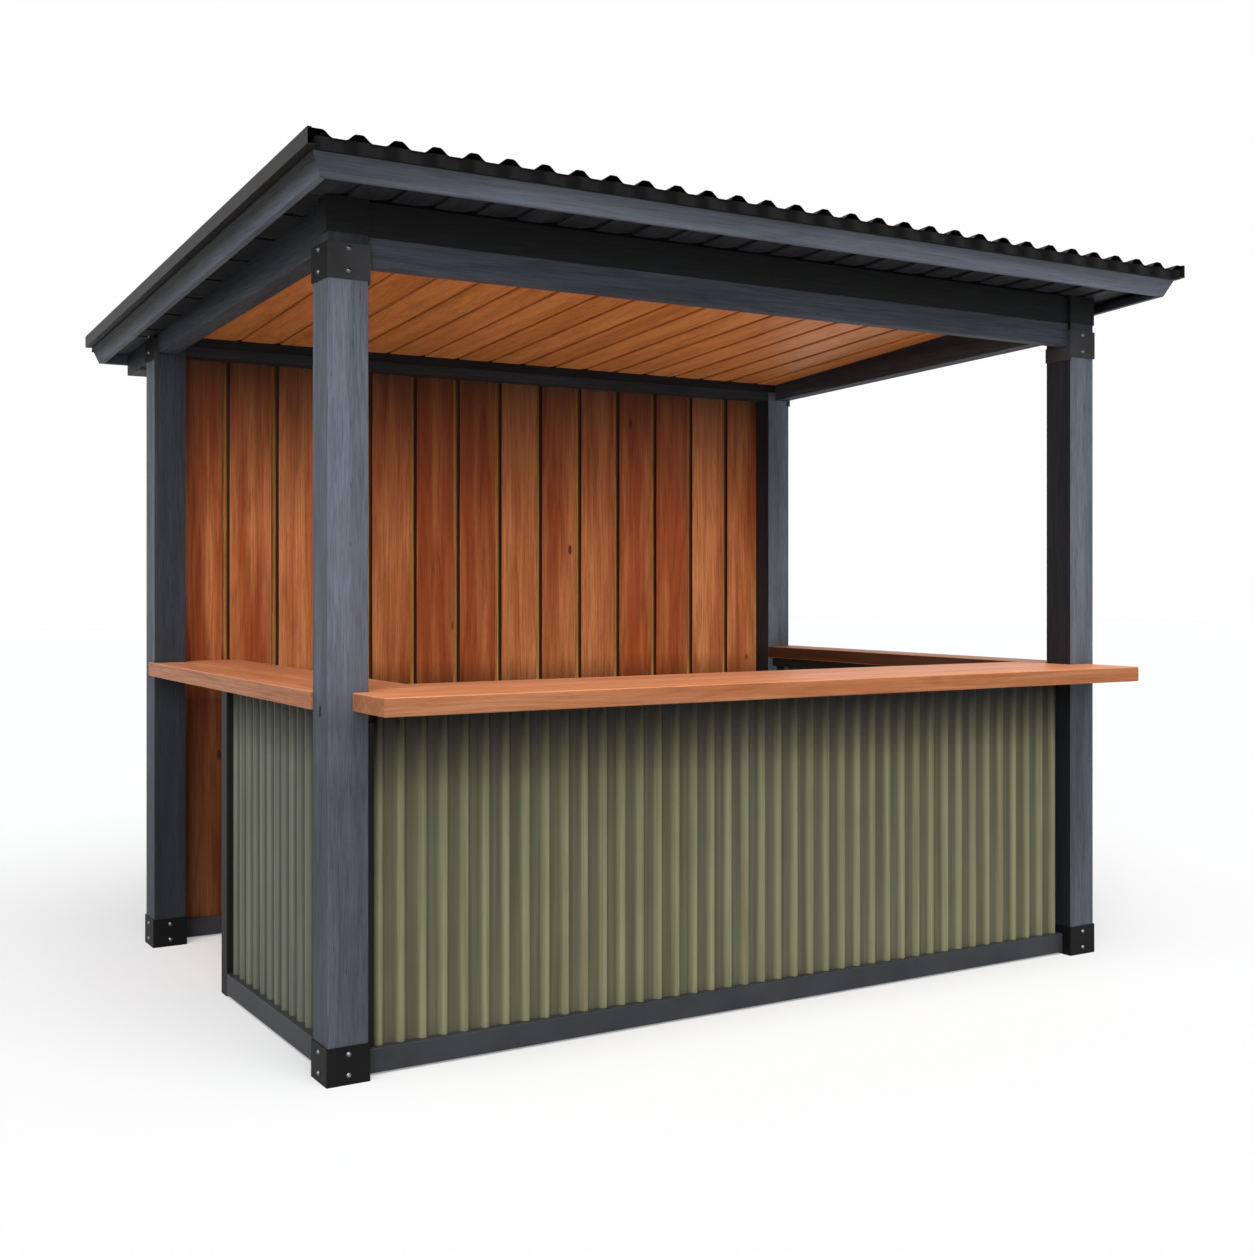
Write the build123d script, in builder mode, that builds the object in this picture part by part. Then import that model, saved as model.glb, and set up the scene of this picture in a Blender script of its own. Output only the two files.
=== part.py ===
# Garden bar: a timber post and beam frame with a falling ribbed sheet roof, a boarded back
# wall, ribbed sheet panels under the counters and thick counters on three sides.
# Millimetres, +Z up, +X to the right along the front, the front towards -Y.
# The origin lies on the ground under the middle of the roof.
import os
from math import cos, radians, sin, tan

from build123d import *

# Frame, over the outer faces of the posts
frame_width = 3000
frame_depth = 2000
post_size = 120
post_edge = 4
timber_edge = 3
foot_plate = 4
shoe_wall = 4
shoe_bend = 3
shoe_height = 106

# Roof plan and fall
roof_pitch = 3.8
ceiling_height = 2450
overhang_front = 285
overhang_back = 330
overhang_side = 158
board_thickness = 20
deck_thickness = 30

# Beams, hung down from the roof boards
beam_inset = 13
front_header = 186
front_beam_height = 84
front_beam_thickness = 47
upper_beam_thickness = 53
upper_beam_end = 5
side_beam_thickness = 66
side_beam_height = 68
firring_head = 66
firring_tail = 4
back_beam_height = 38
lookout_depth = 100
lookout_step = 12
lookout_step_start = 82
lookout_step_run = 27

# Steel collars at the post heads, down and up from the foot of the beam they hold
collar_steel = 4
collar_front_down = 42
collar_front_up = 57
collar_flange_drop = 11
collar_back_down = 24
collar_back_up = 56

# Fascia boards, leaning in at the foot
fascia_inset = 25
fascia_height = 56
fascia_lean = 26
fascia_thickness = 20

# Roof sheet and its flashings
sheet_steel = 1.5
roof_rib_count = 31
roof_rib_crown = 14
roof_rib_foot = 60
roof_rib_height = 16
flashing_steel = 2
verge_face = 44
verge_cover = 70
verge_return = 22
drip_setback = 4
drip_return = 14
drip_lap = 12

# Counters
counter_top = 1080
counter_thickness = 52
counter_edge = 2.5
counter_front_reach = 229
counter_front_depth = 493
counter_left_start = 73
counter_right_end = 20
counter_left_depth = 351
counter_left_reach = 6
counter_right_reach = 50
counter_post_lap = 60
counter_seam_gap = 1

# Panels under the counters
rail_inset = 36
rail_depth = 60
rail_height = 70
rail_clear = 6
tube_edge = 3
top_rail_height = 40
stile_width = 50
stile_depth = 20
end_stile_width = 62
panel_inset = 54
panel_rib_pitch = 66
panel_rib_crown = 18
panel_rib_foot = 46
panel_rib_height = 14
entrance_width = 755

# Back wall of upright boards on a backing sheet
wall_backing = 7
wall_board_thickness = 14
wall_board_count = 14
wall_board_gap = 26
back_rail_step = 20

# Places worked out from the sizes above
half_width = frame_width / 2
front_face = overhang_front - (overhang_front + frame_depth + overhang_back) / 2
back_face = front_face + frame_depth
front_inner = front_face + post_size
back_inner = back_face - post_size
side_inner = half_width - post_size
pitch_angle = radians(roof_pitch)
fall = tan(pitch_angle)
beam_outer = half_width - beam_inset
beam_inner = beam_outer - side_beam_thickness
notch_start = front_face + upper_beam_thickness
roof_half = half_width + overhang_side
roof_front = front_face - overhang_front
roof_back = back_face + overhang_back
deck_front = roof_front + drip_setback + flashing_steel
deck_back = roof_back - drip_setback - flashing_steel
fascia_outer = roof_half - fascia_inset
fascia_front = roof_front + fascia_inset
fascia_slope = fascia_lean / fascia_height
counter_bottom = counter_top - counter_thickness
rail_top = rail_clear + rail_height
panel_top = counter_bottom - top_rail_height
wall_face = back_face - wall_backing - wall_board_thickness


def ceiling(y, lift=0):
    """Height of the underside of the roof boards at y, raised by lift."""
    return ceiling_height - fall * (y - front_face) + lift


def upright(thickness):
    """Height that a layer of this thickness takes up on the slope."""
    return thickness / cos(pitch_angle)


def down_the_roof(x, y, lift):
    """Plane square to the fall of the roof, its x along the front and its y out of the roof."""
    return Plane(
        origin=(x, y, ceiling(y, lift)),
        x_dir=(1, 0, 0),
        z_dir=(0, -cos(pitch_angle), sin(pitch_angle)),
    )


front_beam_bottom = ceiling_height - front_header
front_post_top = front_beam_bottom + front_beam_height
side_beam_front = ceiling(front_inner) - firring_head - side_beam_height
side_beam_back = ceiling(back_inner) - firring_tail - side_beam_height
back_beam_bottom = side_beam_back
back_post_top = back_beam_bottom + back_beam_height


def save(piece, label):
    """Name one finished piece and write it."""
    piece.part.label = label
    export_step(piece.part, f"parts/{label}.step")


def block(label, low, high, along=Axis.X, edge=timber_edge):
    """A timber or rail between two corners, its long edges eased."""
    size = [high[i] - low[i] for i in range(3)]
    with BuildPart(Plane(origin=low)) as piece:
        Box(*size, align=(Align.MIN, Align.MIN, Align.MIN))
        fillet(piece.edges().filter_by(along), edge)
    save(piece, label)


def side_profile(points, x_low, x_high):
    """A prism along X with an outline in Y and Z."""
    with BuildPart() as piece:
        with BuildSketch(Plane.YZ.offset(x_low)):
            with BuildLine():
                Polyline(*points, close=True)
            make_face()
        extrude(amount=x_high - x_low)
    return piece


def roof_slab(label, x_low, x_high, y_low, y_high, lift, thickness):
    """A flat layer of the roof, parallel to its fall."""
    outline = [
        (y_low, ceiling(y_low, lift)),
        (y_high, ceiling(y_high, lift)),
        (y_high, ceiling(y_high, lift + thickness)),
        (y_low, ceiling(y_low, lift + thickness)),
    ]
    save(side_profile(outline, x_low, x_high), label)


def ribbed_sheet(label, plane, run, count, pitch, rib):
    """A ribbed steel sheet with count ribs of (crown, foot, height) along the plane's x."""
    crown, foot, height = rib
    outer = []
    for i in range(count):
        middle = foot / 2 + i * pitch
        outer += [
            (middle - foot / 2, 0),
            (middle - crown / 2, height),
            (middle + crown / 2, height),
            (middle + foot / 2, 0),
        ]
    inner = [(x, y - sheet_steel) for x, y in reversed(outer)]
    with BuildPart() as sheet:
        with BuildSketch(plane):
            with BuildLine():
                Polyline(*outer, *inner, close=True)
            make_face()
        extrude(amount=run)
    save(sheet, label)


os.makedirs("parts", exist_ok=True)

corners = {
    "front_left": (-1, -1),
    "front_right": (1, -1),
    "back_left": (-1, 1),
    "back_right": (1, 1),
}

# Posts, each standing in a steel shoe, the front heads notched for the side beams
for name, (side, end) in corners.items():
    middle_x = side * (half_width - post_size / 2)
    middle_y = (front_face + back_face) / 2 + end * (frame_depth - post_size) / 2
    post_top = front_post_top if end < 0 else back_post_top

    with BuildPart() as post:
        with BuildSketch(Plane.XY.offset(foot_plate)):
            with Locations((middle_x, middle_y)):
                RectangleRounded(post_size, post_size, post_edge)
        extrude(amount=post_top - foot_plate)
        if end < 0:
            notch_width = half_width - beam_inner
            notch_depth = front_inner - notch_start
            with BuildSketch(Plane.XY.offset(side_beam_front)):
                with Locations((side * (half_width - notch_width / 2), front_inner - notch_depth / 2)):
                    Rectangle(notch_width, notch_depth)
            extrude(amount=post_top - side_beam_front, mode=Mode.SUBTRACT)
    save(post, f"post_{name}")

    with BuildPart() as shoe:
        with BuildSketch():
            with Locations((middle_x, middle_y)):
                RectangleRounded(post_size + 2 * shoe_wall, post_size + 2 * shoe_wall, shoe_bend)
        extrude(amount=shoe_height)
        with BuildSketch(Plane.XY.offset(foot_plate)):
            with Locations((middle_x, middle_y)):
                Rectangle(post_size, post_size)
        extrude(amount=shoe_height - foot_plate, mode=Mode.SUBTRACT)
    save(shoe, f"shoe_{name}")

# Steel collars: at the front a band round three faces whose inner flange carries the beam,
# at the back an angle on the outer face
for name, side in (("left", -1), ("right", 1)):
    low = front_beam_bottom - collar_front_down
    high = front_beam_bottom + collar_front_up
    flange_x = side * (side_inner - collar_steel / 2)
    with BuildPart() as collar:
        with BuildSketch(Plane.XY.offset(low)):
            with Locations((side * (half_width - post_size / 2), front_face + (post_size - collar_steel) / 2)):
                Rectangle(post_size + 2 * collar_steel, post_size + collar_steel)
            with Locations((side * (half_width - post_size / 2), front_face + post_size / 2)):
                Rectangle(post_size, post_size, mode=Mode.SUBTRACT)
        extrude(amount=high - low)
        with BuildSketch(Plane.XY.offset(low - collar_flange_drop)):
            with Locations((flange_x, front_face + (post_size - collar_steel) / 2)):
                Rectangle(collar_steel, post_size + collar_steel)
        extrude(amount=collar_flange_drop)
        with BuildSketch(Plane.XY.offset(front_beam_bottom)):
            with Locations((flange_x, (front_face + beam_inset + front_inner) / 2)):
                Rectangle(collar_steel, post_size - beam_inset)
        extrude(amount=high - front_beam_bottom, mode=Mode.SUBTRACT)
    save(collar, f"collar_front_{name}")

    low = back_beam_bottom - collar_back_down
    high = back_beam_bottom + collar_back_up
    with BuildPart() as collar:
        with BuildSketch(Plane.XY.offset(low)):
            with Locations((side * (half_width + collar_steel / 2), back_inner + (post_size - collar_steel) / 2)):
                Rectangle(collar_steel, post_size + collar_steel)
            with Locations((side * (half_width - beam_inset / 2), back_inner - collar_steel / 2)):
                Rectangle(beam_inset, collar_steel)
        extrude(amount=high - low)
    save(collar, f"collar_back_{name}")

# Front and back beams: a lower one between the posts and an upper one over their heads
block(
    "beam_front_lower",
    (-side_inner, front_face + beam_inset, front_beam_bottom),
    (side_inner, front_face + beam_inset + front_beam_thickness, front_post_top),
)
block(
    "beam_back_lower",
    (-side_inner, back_inner, back_beam_bottom),
    (side_inner, wall_face, back_post_top),
)
upper_half = half_width + upper_beam_end
with BuildPart() as upper_front:
    with BuildSketch(Plane.YZ.offset(-upper_half)):
        with BuildLine():
            Polyline(
                (front_face, front_post_top),
                (notch_start, front_post_top),
                (notch_start, ceiling(notch_start)),
                (front_face, ceiling(front_face)),
                close=True,
            )
        make_face()
    extrude(amount=2 * upper_half)
    with BuildSketch(Plane.XY.offset(front_post_top)):
        with Locations((0, front_face + beam_inset / 2)):
            Rectangle(2 * side_inner, beam_inset)
    extrude(amount=ceiling(front_face) - front_post_top, mode=Mode.SUBTRACT)
save(upper_front, "beam_front_upper")

upper_back = side_profile(
    [
        (back_inner, back_post_top),
        (back_face, back_post_top),
        (back_face, ceiling(back_face)),
        (back_inner, ceiling(back_inner)),
    ],
    -half_width,
    half_width,
)
save(upper_back, "beam_back_upper")

# Side beams between the posts, with a tapered firring up to the roof boards
side_fall = (side_beam_front - side_beam_back) / (back_inner - front_inner)


def side_beam(y, lift=0):
    """Height of a side beam's bottom at y, raised by lift."""
    return side_beam_front - side_fall * (y - front_inner) + lift


for name, side in (("left", -1), ("right", 1)):
    x_low, x_high = sorted((side * beam_inner, side * beam_outer))
    lower = side_profile(
        [
            (notch_start, side_beam_front),
            (front_inner, side_beam_front),
            (back_inner, side_beam(back_inner)),
            (back_inner, side_beam(back_inner, side_beam_height)),
            (notch_start, side_beam(notch_start, side_beam_height)),
        ],
        x_low,
        x_high,
    )
    save(lower, f"beam_{name}_lower")

    firring = side_profile(
        [
            (notch_start, side_beam(notch_start, side_beam_height)),
            (back_inner, side_beam(back_inner, side_beam_height)),
            (back_inner, ceiling(back_inner)),
            (notch_start, ceiling(notch_start)),
        ],
        x_low,
        x_high,
    )
    save(firring, f"firring_{name}")

# Lookouts that carry the back overhang, stepped down behind the post
lookout_end = deck_back - fascia_thickness
lookout_bottom = ceiling(back_face) - lookout_depth
step_start = back_face + lookout_step_start
for name, side in (("left", -1), ("right", 1)):
    x_low, x_high = sorted((side * beam_inner, side * half_width))
    lookout = side_profile(
        [
            (back_face, lookout_bottom + lookout_step),
            (step_start, lookout_bottom + lookout_step),
            (step_start + lookout_step_run, lookout_bottom),
            (lookout_end, lookout_bottom),
            (lookout_end, ceiling(lookout_end)),
            (back_face, ceiling(back_face)),
        ],
        x_low,
        x_high,
    )
    save(lookout, f"lookout_{name}")

# Ceiling boards inside the beams and soffit boards outside them, all in one plane
ceiling_half = (beam_inner + beam_outer) / 2
ceiling_front = front_face + upper_beam_thickness / 2
ceiling_back = (back_inner + back_face) / 2
fascia_reveal = fascia_thickness + fascia_slope * board_thickness
soffit_half = fascia_outer - fascia_reveal
soffit_front = fascia_front + fascia_reveal / (1 - fascia_slope * fall)
roof_slab("ceiling", -ceiling_half, ceiling_half, ceiling_front, ceiling_back, 0, board_thickness)
roof_slab("soffit_front", -soffit_half, soffit_half, soffit_front, ceiling_front, 0, board_thickness)
roof_slab("soffit_back", -soffit_half, soffit_half, ceiling_back, lookout_end, 0, board_thickness)
roof_slab("soffit_left", -soffit_half, -ceiling_half, ceiling_front, ceiling_back, 0, board_thickness)
roof_slab("soffit_right", ceiling_half, soffit_half, ceiling_front, ceiling_back, 0, board_thickness)

# Deck on the boards, with a drip flashing folded under its front edge and an apron behind
deck_top = board_thickness + deck_thickness
deck_half = roof_half - flashing_steel - verge_return
roof_slab("roof_deck", -deck_half, deck_half, deck_front, deck_back, board_thickness, deck_thickness)
drip_face = deck_front - flashing_steel
drip_hem = deck_front + drip_return
drip_front = side_profile(
    [
        (drip_face, ceiling(drip_face, deck_top)),
        (deck_front, ceiling(deck_front, deck_top)),
        (deck_front, ceiling(deck_front, board_thickness)),
        (drip_hem, ceiling(drip_hem, board_thickness)),
        (drip_hem, ceiling(drip_hem, board_thickness - flashing_steel)),
        (drip_face, ceiling(drip_face, board_thickness - flashing_steel)),
    ],
    -deck_half,
    deck_half,
)
save(drip_front, "drip_front")
roof_slab(
    "drip_back",
    -deck_half,
    deck_half,
    deck_back,
    deck_back + flashing_steel,
    board_thickness - drip_lap,
    deck_thickness + drip_lap,
)

# Fascia boards: a leaning front and sides, mitred at the front corners, and a plain back
fascia_top = ceiling(fascia_front, board_thickness)
mitre_reach = 3 * fascia_height
mitre_bottom = fascia_top - 2 * fascia_height


def fascia_section(top_fall):
    """Section of a leaning fascia: distance out and height from its outer top edge."""
    return [
        (0, 0),
        (-fascia_lean, -fascia_height),
        (-fascia_lean - fascia_thickness, -fascia_height),
        (-fascia_thickness, -top_fall),
    ]


with BuildPart() as fascia:
    with BuildSketch(Plane.YZ.offset(-fascia_outer)):
        with BuildLine():
            front_section = fascia_section(fall * fascia_thickness)
            Polyline(*[(fascia_front - u, fascia_top + v) for u, v in front_section], close=True)
        make_face()
    extrude(amount=2 * fascia_outer)
    for side in (-1, 1):
        with BuildSketch(Plane.XY.offset(mitre_bottom)):
            with BuildLine():
                Polyline(
                    (side * fascia_outer, fascia_front),
                    (side * (fascia_outer - mitre_reach), fascia_front + mitre_reach),
                    (side * fascia_outer, fascia_front + mitre_reach),
                    close=True,
                )
            make_face()
        extrude(amount=mitre_reach, mode=Mode.SUBTRACT)
save(fascia, "fascia_front")

fascia_run = (deck_back - fascia_front) / cos(pitch_angle)
for name, side in (("left", -1), ("right", 1)):
    with BuildPart() as fascia:
        with BuildSketch(down_the_roof(0, fascia_front, board_thickness)):
            with BuildLine():
                Polyline(*[(side * (fascia_outer + u), v) for u, v in fascia_section(0)], close=True)
            make_face()
        extrude(amount=-fascia_run)
        with BuildSketch(Plane.XY.offset(mitre_bottom)):
            with BuildLine():
                Polyline(
                    (side * fascia_outer, fascia_front),
                    (side * (fascia_outer - mitre_reach), fascia_front + mitre_reach),
                    (side * (fascia_outer - mitre_reach), fascia_front - mitre_reach),
                    (side * fascia_outer, fascia_front - mitre_reach),
                    close=True,
                )
            make_face()
        extrude(amount=mitre_reach, mode=Mode.SUBTRACT)
    save(fascia, f"fascia_{name}")

back_board_half = fascia_outer - fascia_lean - fascia_thickness
back_board = side_profile(
    [
        (lookout_end, ceiling(lookout_end, board_thickness - fascia_height)),
        (deck_back, ceiling(deck_back, board_thickness - fascia_height)),
        (deck_back, ceiling(deck_back, board_thickness)),
        (lookout_end, ceiling(lookout_end, board_thickness)),
    ],
    -back_board_half,
    back_board_half,
)
save(back_board, "fascia_back")

# Ribbed roof sheet, laid down the fall, and verge flashings folded over its sides
sheet_half = roof_half - flashing_steel
roof_rib_pitch = (2 * sheet_half - roof_rib_foot) / (roof_rib_count - 1)
sheet_run = (roof_back - roof_front) / cos(pitch_angle)
ribbed_sheet(
    "roof_sheet",
    down_the_roof(-sheet_half, roof_front, deck_top + upright(sheet_steel)),
    -sheet_run,
    roof_rib_count,
    roof_rib_pitch,
    (roof_rib_crown, roof_rib_foot, roof_rib_height),
)
verge_top = deck_top + upright(sheet_steel + roof_rib_height)
for name, side in (("left", -1), ("right", 1)):
    with BuildPart() as verge:
        with BuildSketch(down_the_roof(0, roof_front, verge_top)):
            with BuildLine():
                Polyline(
                    (side * (roof_half - verge_cover), 0),
                    (side * (roof_half - verge_cover), flashing_steel),
                    (side * roof_half, flashing_steel),
                    (side * roof_half, flashing_steel - verge_face),
                    (side * (roof_half - verge_return), flashing_steel - verge_face),
                    (side * (roof_half - verge_return), 2 * flashing_steel - verge_face),
                    (side * (roof_half - flashing_steel), 2 * flashing_steel - verge_face),
                    (side * (roof_half - flashing_steel), 0),
                    close=True,
                )
            make_face()
        extrude(amount=-sheet_run)
    save(verge, f"verge_{name}")

# Counters, notched round the posts, their edges eased
counter_front_edge = front_face - counter_front_reach
counter_inner_edge = counter_front_edge + counter_front_depth
counter_left_outer = -half_width - counter_left_reach
counter_left_inner = counter_left_outer + counter_left_depth
stile_back = back_inner - entrance_width
counter_rear_end = back_inner + counter_post_lap
plans = {
    "counter_front": [
        (-half_width + counter_left_start, counter_front_edge),
        (half_width - counter_right_end, counter_front_edge),
        (half_width - counter_right_end, front_face),
        (side_inner, front_face),
        (side_inner, counter_inner_edge),
        (-side_inner, counter_inner_edge),
        (-side_inner, front_face),
        (-half_width + counter_left_start, front_face),
    ],
    "counter_left": [
        (counter_left_outer, front_inner),
        (-side_inner, front_inner),
        (-side_inner, counter_inner_edge),
        (counter_left_inner, counter_inner_edge),
        (counter_left_inner, stile_back),
        (counter_left_outer, stile_back),
    ],
    "counter_left_rear": [
        (counter_left_outer, stile_back + counter_seam_gap),
        (counter_left_inner, stile_back + counter_seam_gap),
        (counter_left_inner, wall_face),
        (-side_inner, wall_face),
        (-side_inner, back_inner),
        (-half_width, back_inner),
        (-half_width, counter_rear_end),
        (counter_left_outer, counter_rear_end),
    ],
    "counter_right": [
        (side_inner, front_inner),
        (half_width + counter_right_reach, front_inner),
        (half_width + counter_right_reach, counter_rear_end),
        (half_width, counter_rear_end),
        (half_width, back_inner),
        (side_inner, back_inner),
    ],
}
for name, outline in plans.items():
    with BuildPart() as counter:
        with BuildSketch(Plane.XY.offset(counter_bottom)):
            with BuildLine():
                Polyline(*outline, close=True)
            make_face()
        extrude(amount=counter_thickness)
        levels = counter.edges().group_by(Axis.Z)
        chamfer(levels[-1] + levels[0], counter_edge)
    save(counter, name)

# Front panel: rails, stiles and a ribbed sheet standing on the bottom rail
panel_face = front_face + panel_inset
panel_rib = (panel_rib_crown, panel_rib_foot, panel_rib_height)
block(
    "front_rail_bottom",
    (-side_inner + shoe_wall, front_face + rail_inset, rail_clear),
    (side_inner - shoe_wall, front_face + rail_inset + rail_depth, rail_top),
    edge=tube_edge,
)
block(
    "front_rail_top",
    (-side_inner, front_face + rail_inset, panel_top),
    (side_inner, front_face + rail_inset + rail_depth, counter_bottom),
    edge=tube_edge,
)


def panel_stile(label, centres, size):
    """Uprights at the ends of a panel, from its bottom rail to its top rail."""
    with BuildPart() as stile:
        with BuildSketch(Plane.XY.offset(rail_top)):
            with Locations(*centres):
                Rectangle(*size)
        extrude(amount=panel_top - rail_top)
    save(stile, label)


def panel_sheet(label, start, along, span):
    """A ribbed sheet between two stiles: along goes right to left as seen from outside."""
    count = int((span - panel_rib_foot) // panel_rib_pitch) + 1
    pitch = (span - panel_rib_foot) / (count - 1)
    plane = Plane(origin=(*start, rail_top), x_dir=(*along, 0), z_dir=(0, 0, 1))
    ribbed_sheet(label, plane, panel_top - rail_top, count, pitch, panel_rib)


panel_stile(
    "front_stiles",
    [(side * (side_inner - shoe_wall - stile_width / 2), panel_face + stile_depth / 2) for side in (-1, 1)],
    (stile_width, stile_depth),
)
front_span = 2 * (side_inner - shoe_wall - stile_width)
panel_sheet("front_sheet", (front_span / 2, panel_face + panel_rib_height), (-1, 0), front_span)

# Left panel, from the front post to a stile beside the entrance
side_rail_outer = half_width - rail_inset
side_rail_inner = side_rail_outer - rail_depth
side_panel_face = half_width - panel_inset
end_stile_front = stile_back - end_stile_width
block(
    "left_rail_bottom",
    (-side_rail_outer, front_inner + shoe_wall, rail_clear),
    (-side_rail_inner, end_stile_front, rail_top),
    Axis.Y,
    tube_edge,
)
block(
    "left_rail_top",
    (-side_rail_outer, front_inner, panel_top),
    (-side_rail_inner, end_stile_front, counter_bottom),
    Axis.Y,
    tube_edge,
)
block(
    "left_end_stile",
    (-side_rail_outer, end_stile_front, 0),
    (-side_rail_inner, stile_back, counter_bottom),
    Axis.Z,
    tube_edge,
)
sheet_start = front_inner + shoe_wall + stile_width
side_stile_x = side_panel_face - stile_depth / 2
panel_stile("left_stile", [(-side_stile_x, sheet_start - stile_width / 2)], (stile_depth, stile_width))
side_sheet_x = side_panel_face - panel_rib_height
panel_sheet("left_sheet", (-side_sheet_x, sheet_start), (0, 1), end_stile_front - sheet_start)

# Right panel, from post to post
sheet_end = back_inner - shoe_wall - stile_width
block(
    "right_rail_bottom",
    (side_rail_inner, front_inner + shoe_wall, rail_clear),
    (side_rail_outer, back_inner - shoe_wall, rail_top),
    Axis.Y,
    tube_edge,
)
block(
    "right_rail_top",
    (side_rail_inner, front_inner, panel_top),
    (side_rail_outer, back_inner, counter_bottom),
    Axis.Y,
    tube_edge,
)
panel_stile(
    "right_stiles",
    [(side_stile_x, sheet_start - stile_width / 2), (side_stile_x, sheet_end + stile_width / 2)],
    (stile_depth, stile_width),
)
panel_sheet("right_sheet", (side_sheet_x, sheet_end), (0, -1), sheet_end - sheet_start)

# Back wall: upright boards with recessed strips between them, on a bottom rail
board_width = (2 * side_inner - (wall_board_count - 1) * wall_board_gap) / wall_board_count
with BuildPart() as wall:
    with BuildSketch(Plane.XY.offset(rail_top)):
        with Locations((0, back_face - wall_backing / 2)):
            Rectangle(2 * side_inner, wall_backing)
        with Locations((0, wall_face + wall_board_thickness / 2)):
            with GridLocations(board_width + wall_board_gap, 0, wall_board_count, 1):
                Rectangle(board_width, wall_board_thickness)
    extrude(amount=back_beam_bottom - rail_top)
    with BuildSketch(Plane.XY.offset(rail_top)):
        for side in (-1, 1):
            with Locations((side * (side_inner - shoe_wall / 2), (wall_face + back_face) / 2)):
                Rectangle(shoe_wall, back_face - wall_face)
    extrude(amount=shoe_height - rail_top, mode=Mode.SUBTRACT)
save(wall, "back_wall")
block(
    "back_rail",
    (-side_inner + shoe_wall, wall_face - back_rail_step, rail_clear),
    (side_inner - shoe_wall, back_face, rail_top),
    edge=tube_edge,
)
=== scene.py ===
from math import radians

import bmesh
import bpy
import numpy as np
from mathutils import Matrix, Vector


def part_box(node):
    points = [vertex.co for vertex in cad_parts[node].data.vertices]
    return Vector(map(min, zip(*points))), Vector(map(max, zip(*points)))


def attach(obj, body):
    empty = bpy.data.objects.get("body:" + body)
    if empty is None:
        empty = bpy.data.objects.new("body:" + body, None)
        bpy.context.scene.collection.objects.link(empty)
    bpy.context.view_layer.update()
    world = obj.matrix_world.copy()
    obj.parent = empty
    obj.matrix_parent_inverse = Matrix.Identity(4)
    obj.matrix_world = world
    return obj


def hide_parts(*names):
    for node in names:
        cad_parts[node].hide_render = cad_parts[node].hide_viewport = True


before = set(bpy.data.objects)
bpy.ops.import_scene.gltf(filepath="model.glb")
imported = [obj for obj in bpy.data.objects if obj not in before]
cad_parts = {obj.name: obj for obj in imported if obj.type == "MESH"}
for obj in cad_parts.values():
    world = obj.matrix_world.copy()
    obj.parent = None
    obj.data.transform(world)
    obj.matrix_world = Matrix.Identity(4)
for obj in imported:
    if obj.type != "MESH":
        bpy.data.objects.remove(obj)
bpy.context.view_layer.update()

# The studio: a level camera at eye height to the left of the front, a pale floor, and soft light.
# The long side of the picture is the camera's 36 mm sensor, and the frame is lowered by a small
# shift, so that the uprights stay upright.
camera_place = (-2.9653, -5.0365, 1.3855)
camera_turn = -31.12
camera_lens = 43.97
camera_shift = -0.0357
camera = bpy.data.objects.new("camera", bpy.data.cameras.new("camera"))
camera.location = camera_place
camera.rotation_euler = (radians(90), 0, radians(camera_turn))
camera.data.lens = camera_lens
camera.data.sensor_width = 36
camera.data.shift_y = camera_shift
bpy.context.scene.collection.objects.link(camera)
bpy.context.scene.camera = camera
bpy.context.scene.view_settings.view_transform = "Standard"


def linear(colour):
    """An sRGB hex colour as linear red, green, blue and alpha, by the curve of the sRGB standard."""
    part = np.array([int(colour[i:i + 2], 16) / 255 for i in (1, 3, 5)])
    part = np.where(part <= 0.04045, part / 12.92, ((part + 0.055) / 1.055) ** 2.4)
    return (*part.tolist(), 1.0)


def add(tree, kind, settings=None, inputs=None):
    """Adds a shader node: settings are its properties, inputs its sockets, as values or as links."""
    node = tree.nodes.new(kind)
    for key, value in (settings or {}).items():
        setattr(node, key, value)
    for key, value in (inputs or {}).items():
        if isinstance(value, bpy.types.NodeSocket):
            tree.links.new(value, node.inputs[key])
        else:
            node.inputs[key].default_value = value
    return node


sky_white = "#fefefe"
sky_ambient = "#eef3fb"
sky_strength = 0.17
world = bpy.data.worlds.new("studio")
bpy.context.scene.world = world
world.use_nodes = True
sky = world.node_tree
sky.nodes.clear()
path = add(sky, "ShaderNodeLightPath")
rays = (path.outputs["Is Camera Ray"], path.outputs["Is Glossy Ray"], path.outputs["Is Transmission Ray"])
seen = add(sky, "ShaderNodeMath", {"operation": "MAXIMUM"}, {0: rays[0], 1: rays[1]})
seen = add(sky, "ShaderNodeMath", {"operation": "MAXIMUM"}, {0: seen.outputs[0], 1: rays[2]})
ambient = add(sky, "ShaderNodeBackground", None, {"Color": linear(sky_ambient), "Strength": sky_strength})
white = add(sky, "ShaderNodeBackground", None, {"Color": linear(sky_white), "Strength": 1.0})
inputs = {0: seen.outputs[0], 1: ambient.outputs[0], 2: white.outputs[0]}
both = add(sky, "ShaderNodeMixShader", None, inputs)
add(sky, "ShaderNodeOutputWorld", None, {"Surface": both.outputs[0]})

# Two lamps are broad soft suns: strength, spread in degrees, how high each stands, and how far round
# it stands from straight in front, the left being negative. A third is a low softbox inside the
# bar, which faces up, lights what is under the roof, and isn't seen itself.
suns = {"key": (1.35, 35, 20, -40), "high": (2.7, 60, 62, -14)}
for name, (strength, spread, height, round_from_front) in suns.items():
    lamp = bpy.data.lights.new(name, "SUN")
    lamp.energy = strength
    lamp.angle = radians(spread)
    sun = bpy.data.objects.new(name, lamp)
    sun.rotation_euler = (radians(90 - height), 0, radians(round_from_front))
    bpy.context.scene.collection.objects.link(sun)
softbox_size = (1.8, 0.9)
softbox_place = (0.42, -0.35, 0.15)
softbox_power = 21
lamp = bpy.data.lights.new("softbox", "AREA")
lamp.shape = "RECTANGLE"
lamp.size, lamp.size_y = softbox_size
lamp.energy = softbox_power
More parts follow.
